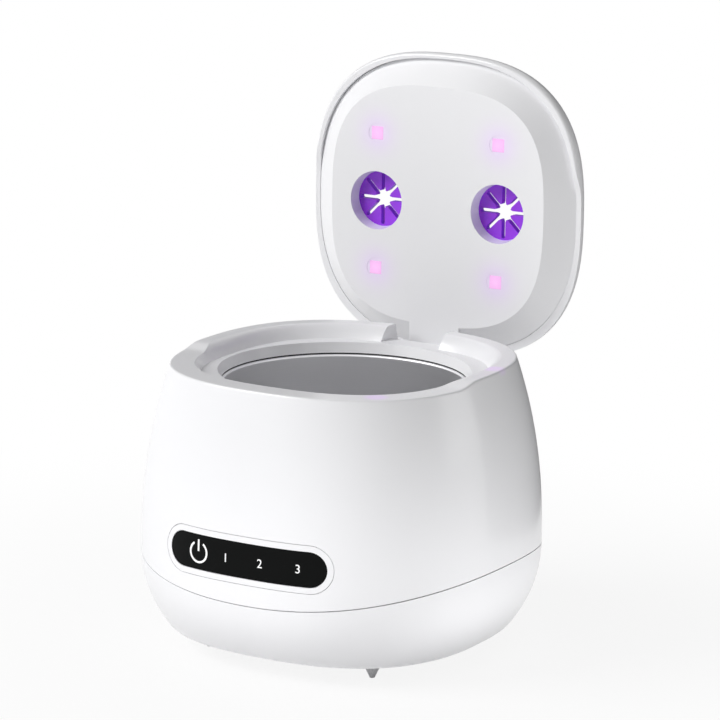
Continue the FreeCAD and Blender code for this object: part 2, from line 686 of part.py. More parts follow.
def transformer_core():
    """Ferrite core round a wound bobbin, on the driver board."""
    length, depth, height = TRANSFORMER_SIZE
    x, y = TRANSFORMER_AT
    core = box(
        (x - length / 2, y - depth / 2, BOARD_TOP_Z),
        (x + length / 2, y + depth / 2, BOARD_TOP_Z + height),
    )
    window = box(
        (x - length / 2 + COIL_MARGIN, y - depth, BOARD_TOP_Z + COIL_MARGIN),
        (x + length / 2 - COIL_MARGIN, y + depth, BOARD_TOP_Z + height - COIL_MARGIN),
    )
    return core.cut(window)


def transformer_winding():
    """Winding that fills the core's window and stands out on both sides."""
    length, depth, height = TRANSFORMER_SIZE
    x, y = TRANSFORMER_AT
    winding = box(
        (x - length / 2 + COIL_MARGIN, y - depth / 2 - COIL_MARGIN, BOARD_TOP_Z + COIL_MARGIN),
        (x + length / 2 - COIL_MARGIN, y + depth / 2 + COIL_MARGIN, BOARD_TOP_Z + height - COIL_MARGIN),
    )
    return rounded(winding, lambda edge: edge.BoundBox.ZLength > 1.0, COIL_MARGIN / 1.5)


def filter_capacitors():
    """Upright electrolytic capacitors."""
    cans = []
    for x, y in CAPACITOR_AT:
        can = column(x, y, BOARD_TOP_Z, BOARD_TOP_Z + CAPACITOR_HEIGHT, CAPACITOR_RADIUS)
        cans.append(rounded(can, lambda edge: edge.BoundBox.ZMin > BOARD_TOP_Z + 1.0, CAPACITOR_RADIUS / 8))
    return cans


def heat_sink():
    """Finned heat sink."""
    length, depth, height = HEAT_SINK_SIZE
    x, y = HEAT_SINK_AT
    high = BOARD_TOP_Z + height
    plate = box((x - length / 2, y, BOARD_TOP_Z), (x + length / 2, y + HEAT_SINK_PLATE, high))
    fins = []
    for step in range(HEAT_SINK_FINS):
        left = x - length / 2 + (length - HEAT_SINK_FIN_THICKNESS) * step / (HEAT_SINK_FINS - 1)
        fins.append(box((left, y - depth, BOARD_TOP_Z), (left + HEAT_SINK_FIN_THICKNESS, y, high)))
    return fuse_all([plate] + fins)


def power_transistor():
    """Power transistor flat against the heat sink."""
    width, depth, height = TRANSISTOR_SIZE
    x, y = HEAT_SINK_AT
    near = y + HEAT_SINK_PLATE
    return box((x - width / 2, near, BOARD_TOP_Z), (x + width / 2, near + depth, BOARD_TOP_Z + height))


def panel_window():
    """Dark pill-shaped window of the control panel."""
    return pill_prism(0.0).common(panel_body(WINDOW_INSET)).cut(panel_body(PANEL_DEPTH))


def panel_surround():
    """Light ring round the window, set in the housing."""
    ring = pill_prism(SURROUND_WIDTH).common(panel_body(0.0)).cut(panel_body(PANEL_DEPTH))
    return ring.cut(pill_prism(PANEL_GAP))


def control_board():
    """Small circuit board behind the window."""
    board = box(
        (-CONTROL_BOARD_HALF_LENGTH, CONTROL_BOARD_FRONT_Y, PANEL_Z - CONTROL_BOARD_HALF_HEIGHT),
        (CONTROL_BOARD_HALF_LENGTH, CONTROL_BOARD_BACK_Y, PANEL_Z + PANEL_POST_RISE + PANEL_POST_RADIUS),
    )
    holes = []
    for x in (-PANEL_POST_X, PANEL_POST_X):
        start = Vector(x, CONTROL_BOARD_FRONT_Y, PANEL_Z + PANEL_POST_RISE)
        holes.append(Part.makeCylinder(SCREW_PASS_RADIUS, CONTROL_BOARD_THICKNESS, start, Vector(0, 1, 0)))
    return board.cut(holes[0].fuse(holes[1]))


def control_board_screws():
    """Screws of the control board."""
    z = PANEL_Z + PANEL_POST_RISE
    return [
        placed_screw(BOARD_SCREW_LENGTH, Vector(x, CONTROL_BOARD_BACK_Y, z), Vector(0, -1, 0))
        for x in (-PANEL_POST_X, PANEL_POST_X)
    ]


def touch_pad():
    """Conductive foam that carries the touch of the key to the board."""
    start = Vector(TOUCH_KEY_X, CONTROL_BOARD_FRONT_Y, PANEL_Z)
    foam = Part.makeCylinder(TOUCH_PAD_RADIUS, REACH, start, Vector(0, -1, 0))
    return foam.common(panel_body(PANEL_DEPTH))


def indicator_leds():
    """Indicator lamps behind the three level marks."""
    half = INDICATOR_SIZE / 2
    back = CONTROL_BOARD_FRONT_Y
    return [
        box((x - half, back - INDICATOR_HEIGHT, PANEL_Z - half), (x + half, back, PANEL_Z + half))
        for x in LEVEL_X
    ]


def power_inlet():
    """Round panel-mounted inlet with a centre pin."""
    axis = Vector(0, 1, 0)
    outer_end = BELLY_HALF + INLET_FLANGE_THICKNESS
    place = Vector(0, BELLY_HALF, INLET_Z)
    flange = Part.makeCylinder(INLET_FLANGE_RADIUS, INLET_FLANGE_THICKNESS, place, axis)
    round_radius = INLET_FLANGE_THICKNESS / 2.5
    flange = rounded(flange, lambda edge: edge.BoundBox.YMin > outer_end - NEAR, round_radius)
    start = Vector(0, outer_end - INLET_LENGTH, INLET_Z)
    barrel = Part.makeCylinder(INLET_RADIUS, INLET_LENGTH, start, axis)
    bore_start = Vector(0, outer_end - INLET_BORE_DEPTH, INLET_Z)
    bore = Part.makeCylinder(INLET_BORE_RADIUS, INLET_BORE_DEPTH, bore_start, axis)
    pin_start = Vector(0, outer_end - INLET_BORE_DEPTH - INLET_PIN_ROOT, INLET_Z)
    pin = Part.makeCylinder(INLET_PIN_RADIUS, INLET_BORE_DEPTH, pin_start, axis)
    return fuse_all([fuse_all([flange, barrel]).cut(bore), pin])


def inlet_nut():
    """Hexagon nut behind the wall, on a flat seat."""
    points = []
    for step in range(6):
        angle = math.radians(60.0 * step)
        reach = INLET_NUT_RADIUS / math.cos(math.radians(30.0))
        points.append(Vector(reach * math.cos(angle), INLET_SEAT_Y, INLET_Z + reach * math.sin(angle)))
    nut = polygon_face(points).extrude(Vector(0, -INLET_NUT_THICKNESS, 0))
    return nut.cut(Part.makeCylinder(INLET_RADIUS, REACH, Vector(0, 0, INLET_Z), Vector(0, 1, 0)))


def hinge_pin():
    """Steel pin of the hinge."""
    return rod(-PIN_HALF_LENGTH, PIN_HALF_LENGTH, HINGE_Y, HINGE_Z, PIN_RADIUS)


def dome(half, power, base_z, height):
    """Sections of a superelliptic dome from its widest level up to a small flat crown."""
    sections = []
    for step in range(DOME_SECTIONS):
        angle = math.radians(DOME_END_ANGLE) * step / (DOME_SECTIONS - 1)
        width = half * math.cos(angle) ** (2.0 / DOME_POWER)
        z = base_z + height * math.sin(angle) ** (2.0 / DOME_POWER)
        sections.append((width, power, z))
    return sections


def lid_cover():
    """Domed outer shell of the lid, with a round lower edge and two wells."""
    edge_sections = []
    for degrees in COVER_EDGE_ANGLES:
        angle = math.radians(degrees)
        width = COVER_HALF - COVER_EDGE_INSET * (1.0 - math.sin(angle))
        z = DOME_BASE_Z - COVER_EDGE_RISE * math.cos(angle)
        edge_sections.append((width, COVER_POWER, z))
    outer = loft(edge_sections + dome(COVER_HALF, COVER_POWER, DOME_BASE_Z, DOME_HEIGHT))
    inner_half = SLOPE_OUTER_HALF + LID_FIT
    straight = prism(inner_half, PLAN_POWER, COVER_FRONT_Z - WALL, DOME_BASE_Z)
    inner = loft(dome(inner_half, PLAN_POWER, DOME_BASE_Z, DOME_HEIGHT - COVER_WALL))
    shell = outer.cut(straight.fuse(inner))
    shell = shell.cut(step_block(COVER_FRONT_Z, COVER_FRONT_Z - 4.0 * WALL))
    small = GROMMET_HOLE_RADIUS - GROMMET_HOLE_TAPER
    large = small + GROMMET_TOP_FLARE
    wall = GROMMET_TUBE_WALL
    tubes = []
    cutters = []
    for x in (-GROMMET_X, GROMMET_X):
        tubes.append(cone(x, 0, GROMMET_OVER_Z, DOME_TOP_Z, small + wall, large + wall).common(outer))
        cutters.append(cone(x, 0, GROMMET_OVER_Z, DOME_TOP_Z, small, large))
    shell = fuse_all([shell] + tubes)
    return shell.cut(cutters[0].fuse(cutters[1]))


def liner_arm():
    """Tab flush with the lid's inner face, the arm behind it and the hinge barrel."""
    top = PLATEAU_Z + TAB_THICKNESS
    centre = Vector(-TAB_HALF_WIDTH, ARM_BACK_Y - ARM_CORNER_RADIUS, top - ARM_CORNER_RADIUS)
    half = ARM_CORNER_RADIUS * math.sqrt(0.5)
    start = centre + Vector(0, 0, ARM_CORNER_RADIUS)
    middle = centre + Vector(0, half, half)
    end = centre + Vector(0, ARM_CORNER_RADIUS, 0)
    corners = [
        end,
        Vector(-TAB_HALF_WIDTH, ARM_BACK_Y, HINGE_Z),
        Vector(-TAB_HALF_WIDTH, ARM_FRONT_Y, HINGE_Z),
        Vector(-TAB_HALF_WIDTH, ARM_FRONT_Y, PLATEAU_Z),
        Vector(-TAB_HALF_WIDTH, TAB_START_Y, PLATEAU_Z),
        Vector(-TAB_HALF_WIDTH, TAB_START_Y, top),
        start,
    ]
    edges = [Part.Arc(start, middle, end).toShape()]
    for one, two in zip(corners, corners[1:]):
        edges.append(Part.LineSegment(one, two).toShape())
    arm = Part.Face(Part.Wire(edges)).extrude(Vector(2.0 * TAB_HALF_WIDTH, 0, 0))
    barrel = rod(-BARREL_HALF_LENGTH, BARREL_HALF_LENGTH, HINGE_Y, HINGE_Z, BARREL_RADIUS)
    return [arm, barrel]


def lid_liner():
    """Inner shell of the lid: flat plateau, sloping skirt, tubes of the grommets, tab, arm and barrel."""
    slope_top = SLOPE_OUTER_Z + LINER_EDGE_HEIGHT
    dish = loft(
        [(PLATEAU_HALF, PLATEAU_POWER, PLATEAU_Z), (SLOPE_OUTER_HALF, PLAN_POWER, SLOPE_OUTER_Z)],
        True,
    )
    edge = prism(SLOPE_OUTER_HALF, PLAN_POWER, SLOPE_OUTER_Z, slope_top)
    inner_low = PLATEAU_Z + LINER_WALL
    inner_high = SLOPE_OUTER_Z + LINER_WALL / 2
    hollow = loft(
        [
            (PLATEAU_HALF - LINER_WALL / 2, PLATEAU_POWER, inner_low),
            (SLOPE_OUTER_HALF - LINER_WALL, PLAN_POWER, inner_high),
        ],
        True,
    )
    hollow_edge = prism(SLOPE_OUTER_HALF - LINER_WALL, PLAN_POWER, inner_high, slope_top)
    shell = dish.fuse(edge).cut(hollow.fuse(hollow_edge))
    added = liner_arm()
    for x in (-GROMMET_X, GROMMET_X):
        added.append(column(x, 0, PLATEAU_Z, GROMMET_UNDER_Z, GROMMET_HOLE_RADIUS + GROMMET_TUBE_WALL))
    for x, y in lid_posts():
        added.append(column(x, y, PLATEAU_Z, LAMP_TOP_Z, LID_POST_RADIUS))
    shell = fuse_all([shell] + added)
    cutters = [rod(-BARREL_HALF_LENGTH, BARREL_HALF_LENGTH, HINGE_Y, HINGE_Z, PIN_BORE_RADIUS)]
    for x in (-GROMMET_X, GROMMET_X):
        small = GROMMET_HOLE_RADIUS - GROMMET_HOLE_TAPER
        cutters.append(cone(x, 0, PLATEAU_Z, GROMMET_UNDER_Z, GROMMET_HOLE_RADIUS, small))
    for x, y in lid_posts():
        cutters.append(column(x, y, LAMP_TOP_Z - LID_POST_HOLE, LAMP_TOP_Z, SCREW_HOLE_RADIUS))
    reach = LAMP_WINDOW / 2 + LAMP_WINDOW_GAP
    for x, y in LAMP_PLACES:
        cutters.append(box((x - reach, y - reach, PLATEAU_Z), (x + reach, y + reach, inner_low)))
        cutters.append(column(x, y, PLATEAU_Z, PLATEAU_Z + DIMPLE_DEPTH, DIMPLE_RADIUS))
    return shell.cut(cutters[0].multiFuse(cutters[1:]))


def lid_posts():
    """The four places of the lid board's screws."""
    return [(x, y) for x in (-LID_POST_X, LID_POST_X) for y in (-LID_POST_Y, LID_POST_Y)]


def led_windows():
    """Square windows in front of the lamps."""
    reach = LAMP_WINDOW / 2
    low = PLATEAU_Z + DIMPLE_DEPTH / 2
    high = PLATEAU_Z + LINER_WALL
    return [box((x - reach, y - reach, low), (x + reach, y + reach, high)) for x, y in LAMP_PLACES]


def uv_leds():
    """Surface-mounted ultraviolet lamps on the lid board."""
    reach = LAMP_SIZE / 2
    low = LAMP_TOP_Z - LAMP_HEIGHT
    return [box((x - reach, y - reach, low), (x + reach, y + reach, LAMP_TOP_Z)) for x, y in LAMP_PLACES]


def lid_board():
    """Lamp board in the lid, with holes for the grommet tubes."""
    high = LAMP_TOP_Z + LID_BOARD_THICKNESS
    board = box((-LID_BOARD_HALF, -LID_BOARD_HALF, LAMP_TOP_Z), (LID_BOARD_HALF, LID_BOARD_HALF, high))
    board = rounded(board, lambda edge: edge.BoundBox.ZLength > LID_BOARD_THICKNESS / 2, LID_BOARD_CORNER)
    cutters = []
    tube_room = GROMMET_HOLE_RADIUS + GROMMET_TUBE_WALL + 2.0 * LID_FIT
    for x in (-GROMMET_X, GROMMET_X):
        cutters.append(column(x, 0, LAMP_TOP_Z, high, tube_room))
    for x, y in lid_posts():
        cutters.append(column(x, y, LAMP_TOP_Z, high, SCREW_PASS_RADIUS))
    return board.cut(cutters[0].multiFuse(cutters[1:]))


def lid_board_screws():
    """Screws of the lamp board."""
    high = LAMP_TOP_Z + LID_BOARD_THICKNESS
    length = LID_POST_HOLE + LID_BOARD_THICKNESS - LAMP_GAP
    return [placed_screw(length, Vector(x, y, high), Vector(0, 0, -1)) for x, y in lid_posts()]


def grommet(x):
    """Soft disc with eight slots round a scalloped hole, clamped between the lid's two shells."""
    low = GROMMET_UNDER_Z
    high = GROMMET_OVER_Z
    disc = column(x, 0, low, high, GROMMET_RADIUS)
    cutters = [column(x, 0, low, high, GROMMET_CENTRE_RADIUS)]
    for step in range(GROMMET_SLOTS):
        angle = 360.0 * step / GROMMET_SLOTS
        end = GROMMET_SLOT_END - GROMMET_SLOT_WIDTH / 2
        half = GROMMET_SLOT_WIDTH / 2
        slot = fuse_all([
            box((0, -half, low), (end, half, high)),
            column(end, 0, low, high, half),
            column(GROMMET_CENTRE_RADIUS, 0, low, high, GROMMET_SCALLOP_RADIUS),
        ])
        slot.rotate(Vector(0, 0, 0), Vector(0, 0, 1), angle)
        slot.translate(Vector(x, 0, 0))
        cutters.append(slot)
    return disc.cut(cutters[0].multiFuse(cutters[1:]))


def opened(shape):
    """The lid's piece turned from shut to open about the hinge."""
    turned = shape.copy()
    turned.rotate(Vector(0, HINGE_Y, HINGE_Z), Vector(1, 0, 0), -OPEN_ANGLE)
    return turned


def write(name, shape):
    """Write one sub-part, made of one solid or of a group of equal ones."""
    pieces = shape if isinstance(shape, list) else [shape]
    solids = []
    for piece in pieces:
        solids += piece.Solids
    whole = solids[0] if len(solids) == 1 else Part.makeCompound(solids)
    valid = all(solid.isValid() for solid in solids)
    volume = sum(solid.Volume for solid in solids)
    print(f"{name:22s} solids {len(solids):2d}  valid {valid}  volume {volume:10.1f}")
    whole.exportStep(f"parts/{name}.step")


def main():
    os.makedirs("parts", exist_ok=True)
    fixed = {
        "upper_housing": upper_housing,
        "base_cover": base_cover,
        "rubber_feet": rubber_feet,
        "base_screws": base_screws,
        "tank": tank,
        "tank_gasket": tank_gasket,
        "clamp_ring": clamp_ring,
        "clamp_screws": clamp_screws,
        "piezo_disc": piezo_disc,
        "adhesive_pad": adhesive_pad,
        "driver_board": driver_board,
        "board_screws": board_screws,
        "transformer_core": transformer_core,
        "transformer_winding": transformer_winding,
        "filter_capacitors": filter_capacitors,
        "heat_sink": heat_sink,
        "power_transistor": power_transistor,
        "panel_surround": panel_surround,
        "panel_window": panel_window,
        "control_board": control_board,
        "control_board_screws": control_board_screws,
        "touch_pad": touch_pad,
        "indicator_leds": indicator_leds,
        "power_inlet": power_inlet,
        "inlet_nut": inlet_nut,
        "hinge_pin": hinge_pin,
    }
    for name, make in fixed.items():
        write(name, make())
    moving = {
        "lid_cover": lid_cover,
        "lid_liner": lid_liner,
        "led_windows": led_windows,
        "uv_leds": uv_leds,
        "lid_board": lid_board,
        "lid_board_screws": lid_board_screws,
        "grommet_left": lambda: grommet(-GROMMET_X),
        "grommet_right": lambda: grommet(GROMMET_X),
    }
    for name, make in moving.items():
        made = make()
        pieces = made if isinstance(made, list) else [made]
        write(name, [opened(piece) for piece in pieces])


main()
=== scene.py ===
import math

import bpy
import numpy as np
from bpy.props import FloatProperty, FloatVectorProperty, IntProperty, PointerProperty
from mathutils import Matrix, Vector


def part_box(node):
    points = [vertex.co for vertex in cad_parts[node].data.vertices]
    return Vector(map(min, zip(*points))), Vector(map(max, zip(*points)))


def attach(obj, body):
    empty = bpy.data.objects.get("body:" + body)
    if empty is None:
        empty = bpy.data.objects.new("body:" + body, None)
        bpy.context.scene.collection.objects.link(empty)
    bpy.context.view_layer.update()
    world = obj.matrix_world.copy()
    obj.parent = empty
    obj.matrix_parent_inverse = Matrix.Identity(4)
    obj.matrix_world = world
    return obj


bl_info = {
    "name": "Ultrasonic retainer cleaner",
    "version": (1, 0, 0),
    "blender": (4, 5, 0),
    "location": "View3D > Sidebar > Cleaner",
    "description": "Finishes, panel marks and stage of a countertop ultrasonic retainer cleaner",
    "category": "Object",
}

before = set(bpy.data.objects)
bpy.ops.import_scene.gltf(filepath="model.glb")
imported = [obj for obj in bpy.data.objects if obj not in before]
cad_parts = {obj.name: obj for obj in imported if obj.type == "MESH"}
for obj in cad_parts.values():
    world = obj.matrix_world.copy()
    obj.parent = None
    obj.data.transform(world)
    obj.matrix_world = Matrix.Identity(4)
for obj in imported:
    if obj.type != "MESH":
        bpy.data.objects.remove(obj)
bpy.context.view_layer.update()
MM = 0.001

# Places that the CAD parts give
WINDOW_LOW, WINDOW_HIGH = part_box("panel_window")
PANEL_Z = 0.5 * (WINDOW_LOW[2] + WINDOW_HIGH[2])
LAMPS_LOW, LAMPS_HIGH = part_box("led_windows")
LAMP_CENTRE_Z = 0.5 * (LAMPS_LOW[2] + LAMPS_HIGH[2])
LAMP_SIDE = 4.7 * MM
LAMP_SPREAD = 0.5 * (LAMPS_HIGH[2] - LAMPS_LOW[2] - LAMP_SIDE)

# Painted lamp light where the lamps' light would meet the rim: two round patches that fade outwards and end
# at the rim's edge
RIM_Z = 100.9 * MM
RIM_EDGE = (0.6 * MM, 0.1 * MM)
PAINTED_RIM_PATCHES = ((37.3 * MM, -42.3 * MM, 100.9 * MM), (53.4 * MM, 11.0 * MM, 102.6 * MM))
PATCH_FADE = (1.5 * MM, 5.5 * MM)
PATCH_SHARE = 0.85
PATCH_GLOW = 0.12

# How far the painted lamp light reaches on the liner round the lamps, and how strongly
HALO_REACH = 7.0 * MM
HALO_SHARE = 0.8
HALO_GLOW = 0.06

# Glow of a lamp window over its lamp, and at the length of a side away from it
WINDOW_GLOW = (0.66, 0.42)

# Brush lines of the tank for each metre: round it, and up its wall
BRUSH_SCALE = (60.0, 60.0, 4000.0)

# How far from the middle the floor runs out into plain white, and its share of white under the object
FLOOR_FADE = (0.07, 0.30)
FLOOR_WHITE = 0.88

# The front wall behind the panel marks, as the body's outline gives it
BELLY_HALF = 66.85 * MM
BELLY_Z = 36.0 * MM
NARROWING = 8.75 * MM
NARROWING_SPAN = 63.0 * MM
CURVE_POWER = 2.2
PLAN_POWER = 2.5
WINDOW_INSET = 0.05 * MM

# The power mark: half of its opening in degrees, the ends of its bar in shares of its radius, and the
# points along its ring and its bar
RING_OPENING = 32.0
BAR_ENDS = (0.1, 1.25)
RING_POINTS = 61
BAR_POINTS = 7


def linear(code):
    """sRGB hex code to linear red, green and blue."""
    values = [int(code[i:i + 2], 16) / 255.0 for i in (1, 3, 5)]
    return tuple(v / 12.92 if v <= 0.04045 else ((v + 0.055) / 1.055) ** 2.4 for v in values)


class CleanerColours(bpy.types.PropertyGroup):
    """Colours of the cleaner's finishes."""
    shell: FloatVectorProperty(
        name="Shell", description="Gloss white ABS of the shells", subtype="COLOR", size=3,
        default=linear("#F3F3F5"))
    liner: FloatVectorProperty(
        name="Lid liner", description="Satin white ABS of the lid's inner face", subtype="COLOR", size=3,
        default=linear("#F6F6F8"))
    steel: FloatVectorProperty(
        name="Tank steel", description="Brushed stainless steel", subtype="COLOR", size=3,
        default=linear("#CFCFD1"))
    panel: FloatVectorProperty(
        name="Panel", description="Dark acrylic of the control panel", subtype="COLOR", size=3,
        default=linear("#0C0D0D"))
    marks: FloatVectorProperty(
        name="Panel marks", description="White print of the panel marks", subtype="COLOR", size=3,
        default=linear("#F2F2F2"))
    silicone: FloatVectorProperty(
        name="Silicone", description="Purple silicone of the slotted discs", subtype="COLOR", size=3,
        default=linear("#9636E0"))
    lamp: FloatVectorProperty(
        name="Lamp glow", description="Pink glow of the lamp windows", subtype="COLOR", size=3,
        default=linear("#FFC4FA"))
    # Colour of the painted lamp light on the liner and on the rim
    halo: FloatVectorProperty(
        name="Halo", description="Violet light that the lamps throw on the liner", subtype="COLOR", size=3,
        default=linear("#F0DCFF"))


class CleanerMarks(bpy.types.PropertyGroup):
    """Sizes of the marks on the control panel."""
    key_x: FloatProperty(
        name="Power mark", description="Place of the power mark across the panel", unit="LENGTH",
        default=-18.2 * MM)
    key_radius: FloatProperty(
        name="Power mark radius", description="Middle radius of the power mark's ring", unit="LENGTH",
        default=3.55 * MM)
    stroke: FloatProperty(
        name="Stroke", description="Line width of the power mark", unit="LENGTH", default=0.72 * MM)
    digit: FloatProperty(
        name="Digit height", description="Height of the level digits", unit="LENGTH", default=3.0 * MM)
    levels: FloatVectorProperty(
        name="Levels", description="Places of the three level marks across the panel", unit="LENGTH", size=3,
        default=(-6.7 * MM, 6.9 * MM, 21.1 * MM))
    proud: FloatProperty(
        name="Print thickness", description="Thickness of the print, half of it proud of the panel",
        unit="LENGTH", default=0.12 * MM)


class CleanerStage(bpy.types.PropertyGroup):
    """Camera and light."""
    azimuth: FloatProperty(
        name="Azimuth", description="Camera's turn to the right of the front", unit="ROTATION",
        default=math.radians(30.30))
    elevation: FloatProperty(
        name="Elevation", description="Camera's height angle", unit="ROTATION", default=math.radians(12.73))
    roll: FloatProperty(
        name="Roll", description="Camera's turn about its own axis", unit="ROTATION",
        default=math.radians(0.77))
    distance: FloatProperty(
        name="Distance", description="From the camera to its target", unit="LENGTH", default=1.25)
    target_side: FloatProperty(
        name="Target side", description="Target's shift to the camera's right", unit="LENGTH",
        default=5.34 * MM)
    target_height: FloatProperty(
        name="Target height", description="Target's height", unit="LENGTH", default=101.14 * MM)
    lens: FloatProperty(name="Lens", description="Focal length in millimetres", default=178.3, min=1.0)
    key_power: FloatProperty(name="Key light", description="Power of the key light", default=23.2, min=0.0)
    fill_power: FloatProperty(name="Fill light", description="Power of the fill light", default=4.0, min=0.0)
    bounce_power: FloatProperty(
        name="Table bounce", description="Power of the light off the table at the right", default=0.17,
        min=0.0)
    front_bounce_power: FloatProperty(
        name="Front table bounce", description="Power of the light off the table in front", default=0.12,
        min=0.0)
    sky: FloatProperty(name="Sky", description="Strength of the even light all round", default=0.18, min=0.0)
    floor_reach: IntProperty(name="Floor", description="Half size of the floor in metres", default=6, min=1)


def add(tree, kind, inputs=None, **settings):
    """Add a node with its settings. An input's value is a number, a colour or the socket that feeds it."""
    node = tree.nodes.new(kind)
    for key, value in settings.items():
        setattr(node, key, value)
    for key, value in (inputs or {}).items():
        if isinstance(value, bpy.types.NodeSocket):
            tree.links.new(value, node.inputs[key])
        else:
            node.inputs[key].default_value = value
    return node


def rgba(colour):
    """Opaque colour with its alpha."""
    return (colour[0], colour[1], colour[2], 1.0)


def surface(name, inputs):
    """New material with one Principled shader. Returns the material, its tree and the shader."""
    made = bpy.data.materials.new(name)
    made.use_nodes = True
    tree = made.node_tree
    tree.nodes.clear()
    shader = add(tree, "ShaderNodeBsdfPrincipled", inputs)
    add(tree, "ShaderNodeOutputMaterial", {"Surface": shader.outputs[0]})
    return made, tree, shader


def object_point(tree):
    """Socket of the object coordinates."""
    return add(tree, "ShaderNodeTexCoord").outputs["Object"]


def grain_bump(tree, shader, size, height):
    """Fine even surface grain: noise whose cells measure size, with that height."""
    noise = add(tree, "ShaderNodeTexNoise", {
        "Vector": object_point(tree), "Scale": 1.0 / size, "Detail": 2.0})
    bump = add(tree, "ShaderNodeBump", {"Height": noise.outputs["Fac"], "Distance": height, "Strength": 0.6})
    tree.links.new(bump.outputs[0], shader.inputs["Normal"])
    return noise


def varied(tree, socket, fac, low, high):
    """Feed a socket with a value between low and high. The noise hardly leaves 0.3 to 0.7."""
    ramp = add(tree, "ShaderNodeMapRange", {
        "Value": fac, "From Min": 0.3, "From Max": 0.7, "To Min": low, "To Max": high})
    tree.links.new(ramp.outputs[0], socket)


def moulded_abs(name, colour, roughness):
    """Injection-moulded ABS.

    The tool's polish gives the eye a smooth, soft gloss with a faint orange-peel of about 1.2 mm. Its real
    height is a few thousandths of a millimetre, which breaks a reflection but hardly shows.
    """
    made, tree, shader = surface(name, {
        "Base Color": rgba(colour), "IOR": 1.53, "Coat Weight": 0.25, "Coat Roughness": 0.08})
    noise = grain_bump(tree, shader, 1.2 * MM, 0.004 * MM)
    varied(tree, shader.inputs["Roughness"], noise.outputs["Fac"], roughness - 0.02, roughness + 0.02)
    return made


def paint(node_name, made):
    """Give a CAD node its finish."""
    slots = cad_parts[node_name].data.materials
    slots.clear()
    slots.append(made)


def colours():
    """Colours as they are set in the panel."""
    return bpy.context.scene.cleaner_colours


def marks():
    """Sizes of the marks as they are set in the panel."""
    return bpy.context.scene.cleaner_marks


def lamp_light_on_rim(made):
    """Two soft lilac patches of painted lamp light on the rim, in colour and a faint glow, kept off the wall
    below it.
    """
    tree = made.node_tree
    shader = next(node for node in tree.nodes if node.type == "BSDF_PRINCIPLED")
    point = object_point(tree)
    height = add(tree, "ShaderNodeSeparateXYZ", {0: point}).outputs["Z"]
    on_top = add(tree, "ShaderNodeMapRange", {
        "Value": height, "From Min": RIM_Z - RIM_EDGE[0], "From Max": RIM_Z - RIM_EDGE[1]})
    colour = rgba(colours().shell)
    glow = 0.0
    # Each patch is painted lamp light: lilac mixed into the colour, and a faint glow
    for place in PAINTED_RIM_PATCHES:
        away = add(tree, "ShaderNodeVectorMath", {0: point, 1: place}, operation="DISTANCE")
        fade = add(tree, "ShaderNodeMapRange", {
            "Value": away.outputs["Value"], "From Min": PATCH_FADE[0], "From Max": PATCH_FADE[1],
            "To Min": PATCH_SHARE, "To Max": 0.0}, interpolation_type="SMOOTHSTEP")
        share = add(tree, "ShaderNodeMath", {0: fade.outputs[0], 1: on_top.outputs[0]}, operation="MULTIPLY")
        mixed = add(tree, "ShaderNodeMix", {
            0: share.outputs[0], 6: colour, 7: rgba(colours().halo)}, data_type="RGBA")
        colour = mixed.outputs[2]
        lit = add(tree, "ShaderNodeMath", {
            0: share.outputs[0], 1: PATCH_GLOW, 2: glow}, operation="MULTIPLY_ADD")
        glow = lit.outputs[0]
    tree.links.new(colour, shader.inputs["Base Color"])
    tree.links.new(glow, shader.inputs["Emission Strength"])
    shader.inputs["Emission Color"].default_value = rgba(colours().halo)


class CLEANER_OT_shells(bpy.types.Operator):
    """Gloss white ABS of the housing, the base, the lid's cover and the panel's surround"""
    bl_idname = "cleaner.shells"
    bl_label = "White shells"

    def execute(self, context):
        # A polished tool gives the outside a soft gloss that shows the studio lights as broad pale bands
        gloss = moulded_abs("Gloss white ABS", colours().shell, 0.30)
        for name in ("base_cover", "lid_cover", "panel_surround"):
            paint(name, gloss)
        # The housing's copy carries painted lamp light on its rim
        housing = moulded_abs("Gloss white ABS with painted lamp light", colours().shell, 0.30)
        lamp_light_on_rim(housing)
        paint("upper_housing", housing)
        return {"FINISHED"}


def lamp_distance(tree):
    """Distance from the nearest lamp, worked out once for all four by folding the face about its middle."""
    point = add(tree, "ShaderNodeSeparateXYZ", {0: object_point(tree)})
    side = add(tree, "ShaderNodeMath", {0: point.outputs["X"]}, operation="ABSOLUTE")
    side = add(tree, "ShaderNodeMath", {0: side.outputs[0], 1: LAMP_SPREAD}, operation="SUBTRACT")
    rise = add(tree, "ShaderNodeMath", {0: point.outputs["Z"], 1: LAMP_CENTRE_Z}, operation="SUBTRACT")
    rise = add(tree, "ShaderNodeMath", {0: rise.outputs[0]}, operation="ABSOLUTE")
    rise = add(tree, "ShaderNodeMath", {0: rise.outputs[0], 1: LAMP_SPREAD}, operation="SUBTRACT")
    flat = add(tree, "ShaderNodeCombineXYZ", {"X": side.outputs[0], "Z": rise.outputs[0]})
    return add(tree, "ShaderNodeVectorMath", {0: flat.outputs[0]}, operation="LENGTH").outputs["Value"]


